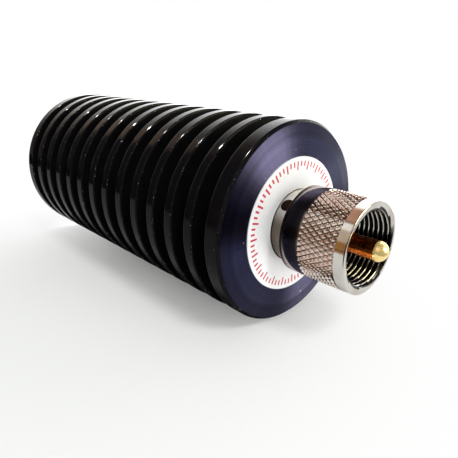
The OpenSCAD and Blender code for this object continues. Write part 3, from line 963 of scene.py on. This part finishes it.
# What stands in that room: direction, angles in degrees where the patch is full and where it ends, and
# linear colour. A later patch covers an earlier one.
ROOM_PATCHES = {
    "warm ceiling": ((-0.4, 0.0, 0.916), 14, 24, (0.66, 0.37, 0.26, 1)),
    "brown furniture": ((-0.42, -0.9, 0.1), 12, 24, (0.41, 0.2, 0.06, 1)),
    "wall behind the camera": ((0.25, -0.7, 0.67), 18, 30, (0.95, 0.75, 0.68, 1)),
    "pale cupboard": ((-0.477, -0.72, 0.51), 10, 16, (0.73, 0.64, 0.5, 1)),
    "bright pane": ((-0.474, -0.479, 0.738), 6, 10, (1.3, 1.3, 1.25, 1)),
    "dark doorway": ((0.6, 0.78, 0.2), 16, 30, (0.1, 0.09, 0.1, 1)),
    "brown shelf": ((-0.82, -0.07, 0.565), 6, 11, (1.9, 1.3, 0.92, 1)),
}

# Tint of the even light on matt surfaces, and the lamps' plain white.
AMBIENT_TINT = (0.985, 1.0, 0.97)
WHITE = (1, 1, 1)


def studio_world(stage):
    """Even light for matt surfaces, white for the camera, and a plain room for gloss.

    The room is bright behind and to the left and dark in front: its light follows one slanted direction.
    The patches then fade in, each round its own direction.
    """
    world = bpy.data.worlds.new("studio")
    world.use_nodes = True
    tree = world.node_tree
    tree.nodes.clear()
    towards = add(tree, "TexCoord").outputs["Generated"]
    lift = add(tree, "VectorMath", {"operation": "DOT_PRODUCT"}, {0: towards, 1: ROOM_RISE}).outputs["Value"]
    share = add(tree, "MapRange", None, {"Value": lift, "From Min": 0.04, "From Max": 0.95}).outputs[0]
    ramp = add(tree, "ValToRGB", None, {"Fac": share})
    stops = ramp.color_ramp.elements
    stops[0].color, stops[1].color = ROOM_RAMP[0][1], ROOM_RAMP[-1][1]
    for stop, colour in ROOM_RAMP[1:-1]:
        stops.new(stop).color = colour
    room = add(
        tree, "VectorMath", {"operation": "SCALE"}, {0: ramp.outputs["Color"], "Scale": stage.room_light}
    ).outputs[0]
    for centre, full, end, colour in ROOM_PATCHES.values():
        near = add(tree, "VectorMath", {"operation": "DOT_PRODUCT"}, {0: towards, 1: centre}).outputs["Value"]
        low, high = (math.cos(math.radians(angle)) for angle in (end, full))
        amount = add(
            tree, "MapRange", {"interpolation_type": "SMOOTHSTEP"},
            {"Value": near, "From Min": low, "From Max": high},
        ).outputs[0]
        room = add(
            tree, "Mix", {"data_type": "RGBA"}, {"Factor": amount, "A": room, "B": colour}
        ).outputs["Result"]
    rays = add(tree, "LightPath")
    grey = tuple(stage.ambient * part for part in AMBIENT_TINT) + (1,)
    seen = add(
        tree, "Mix", {"data_type": "RGBA"},
        {"Factor": rays.outputs["Is Camera Ray"], "A": grey, "B": (*WHITE, 1)},
    ).outputs["Result"]
    mirrored = add(
        tree, "Mix", {"data_type": "RGBA"}, {"Factor": rays.outputs["Is Glossy Ray"], "A": seen, "B": room}
    ).outputs["Result"]
    shader = add(tree, "Background", None, {"Color": mirrored, "Strength": 1.0})
    add(tree, "OutputWorld", None, {"Surface": shader.outputs[0]})
    return world


def add_lamp(name, towards, distance, size, radiance, colour=WHITE, for_gloss=False):
    """A square area lamp that faces the object from one direction; either gloss or the matt surfaces see it.

    Its power is its radiance times pi times its area. Gives back the lamp's light linking.
    """
    aim = Vector((0, AXIS_Y, AXIS_Z))
    lamp = bpy.data.lights.new(name, "AREA")
    lamp.shape, lamp.size, lamp.color = "SQUARE", size, colour
    lamp.energy = radiance * math.pi * size**2
    holder = bpy.data.objects.new(name, lamp)
    holder.location = aim + Vector(towards).normalized() * distance
    holder.rotation_mode = "QUATERNION"
    holder.rotation_quaternion = (aim - holder.location).to_track_quat("-Z", "Y")
    holder.visible_camera = False
    holder.visible_diffuse, holder.visible_glossy = not for_gloss, for_gloss
    bpy.context.scene.collection.objects.link(holder)
    return holder.light_linking


def group_of(name, *pieces):
    """A collection of pieces that a lamp lights, or that stand in its way."""
    group = bpy.data.collections.new(name)
    for piece in pieces:
        group.objects.link(piece)
    return group


class DUMMY_LOAD_OT_stage(bpy.types.Operator):
    """Sets the bench, the light and the camera"""

    bl_idname = "dummy_load.stage"
    bl_label = "Stage"

    def execute(self, context):
        scene, stage = context.scene, context.scene.dummy_load_stage
        reach, drop = 3.0, -0.02 * MM
        corner = np.array([(-1, -1), (1, -1), (1, 1), (-1, 1)]) * reach
        mesh = bpy.data.meshes.new("bench")
        mesh.from_pydata(np.column_stack([corner, np.full(4, drop)]).tolist(), [], [(0, 1, 2, 3)])
        mesh.materials.append(bench_material(stage))
        bench = bpy.data.objects.new("bench", mesh)
        scene.collection.objects.link(bench)

        scene.world = studio_world(stage)
        sink, nut = scene.objects["heat_sink_turned"], scene.objects["coupling_nut_knurled"]
        label, body = frame["nodes"]["label_ring"], frame["nodes"]["plug_body"]
        # The ceiling light throws the shadow. What the paper throws up reaches the label past the plug.
        add_lamp("key_light", (0.62, -0.5, 0.6), distance=1.2, size=0.6, radiance=1.0)
        add_lamp("ceiling_light", (0.595, -0.129, 0.793), distance=1.0, size=0.22, radiance=27.0)
        add_lamp("window_right", (0.9, 0.35, 0.1), distance=0.7, size=0.35, radiance=3.5)
        bounce = add_lamp("paper_bounce", (0.7, 0.4, -0.6), distance=0.4, size=0.2, radiance=5.4)
        bounce.receiver_collection = group_of("label_alone", label)
        bounce.blocker_collection = group_of("plug_pieces", nut, body)
        # Gloss sees a warm softbox on the front face, and a small lamp as glints on the fins' edges.
        add_lamp(
            "softbox_right", (0.86, 0.5, 0.32), distance=0.9, size=0.42, radiance=23.0,
            colour=(1, 0.92, 0.6), for_gloss=True,
        )
        glints = add_lamp(
            "glint_lamp", (-0.29, -0.21, 0.935), distance=0.8, size=0.03, radiance=48000.0,
            colour=(1, 0.96, 0.92), for_gloss=True,
        )
        glints.receiver_collection = group_of("heat_sink_edges", sink)

        front = Vector((SINK_FRONT, AXIS_Y, AXIS_Z))
        level = math.cos(stage.elevation)
        back = Vector((
            math.sin(stage.azimuth) * level, -math.cos(stage.azimuth) * level, math.sin(stage.elevation),
        ))
        camera = bpy.data.cameras.new("camera")
        camera.lens, camera.sensor_width = stage.lens, 36.0
        camera.clip_start, camera.clip_end = 0.005, 20.0
        holder = bpy.data.objects.new("camera", camera)
        holder.location = front + Vector(stage.camera_offset)
        holder.rotation_mode = "QUATERNION"
        holder.rotation_quaternion = (-back).to_track_quat("-Z", "Y")
        scene.collection.objects.link(holder)
        scene.camera = holder
        scene.view_settings.view_transform = "Standard"
        return {"FINISHED"}


PIECES = (
    DUMMY_LOAD_OT_heat_sink,
    DUMMY_LOAD_OT_label_ring,
    DUMMY_LOAD_OT_coupling_nut,
    DUMMY_LOAD_OT_plug,
    DUMMY_LOAD_OT_resistor,
    DUMMY_LOAD_OT_stage,
)


class DUMMY_LOAD_PT_pieces(bpy.types.Panel):
    """Lists the pieces of the dummy load"""

    bl_label = "RF dummy load"
    bl_idname = "DUMMY_LOAD_PT_pieces"
    bl_space_type = "VIEW_3D"
    bl_region_type = "UI"
    bl_category = "Dummy load"

    def draw(self, context):
        for piece in PIECES:
            self.layout.operator(piece.bl_idname)


SETTINGS = {
    "dummy_load_heat_sink": HeatSinkSettings,
    "dummy_load_label": LabelSettings,
    "dummy_load_plug": PlugSettings,
    "dummy_load_stage": StageSettings,
}
CLASSES = (*SETTINGS.values(), *PIECES, DUMMY_LOAD_PT_pieces)


def register():
    """Registers the classes and hangs the settings on the scene."""
    for kind in CLASSES:
        bpy.utils.register_class(kind)
    for name, kind in SETTINGS.items():
        setattr(bpy.types.Scene, name, PointerProperty(type=kind))


def unregister():
    """Takes the settings and the classes away again."""
    for name in SETTINGS:
        delattr(bpy.types.Scene, name)
    for kind in reversed(CLASSES):
        bpy.utils.unregister_class(kind)


def main():
    """Builds every piece and the stage."""
    register()
    bpy.ops.dummy_load.heat_sink()
    bpy.ops.dummy_load.label_ring()
    bpy.ops.dummy_load.coupling_nut()
    bpy.ops.dummy_load.plug()
    bpy.ops.dummy_load.resistor()
    bpy.ops.dummy_load.stage()


if __name__ == "__main__":
    main()
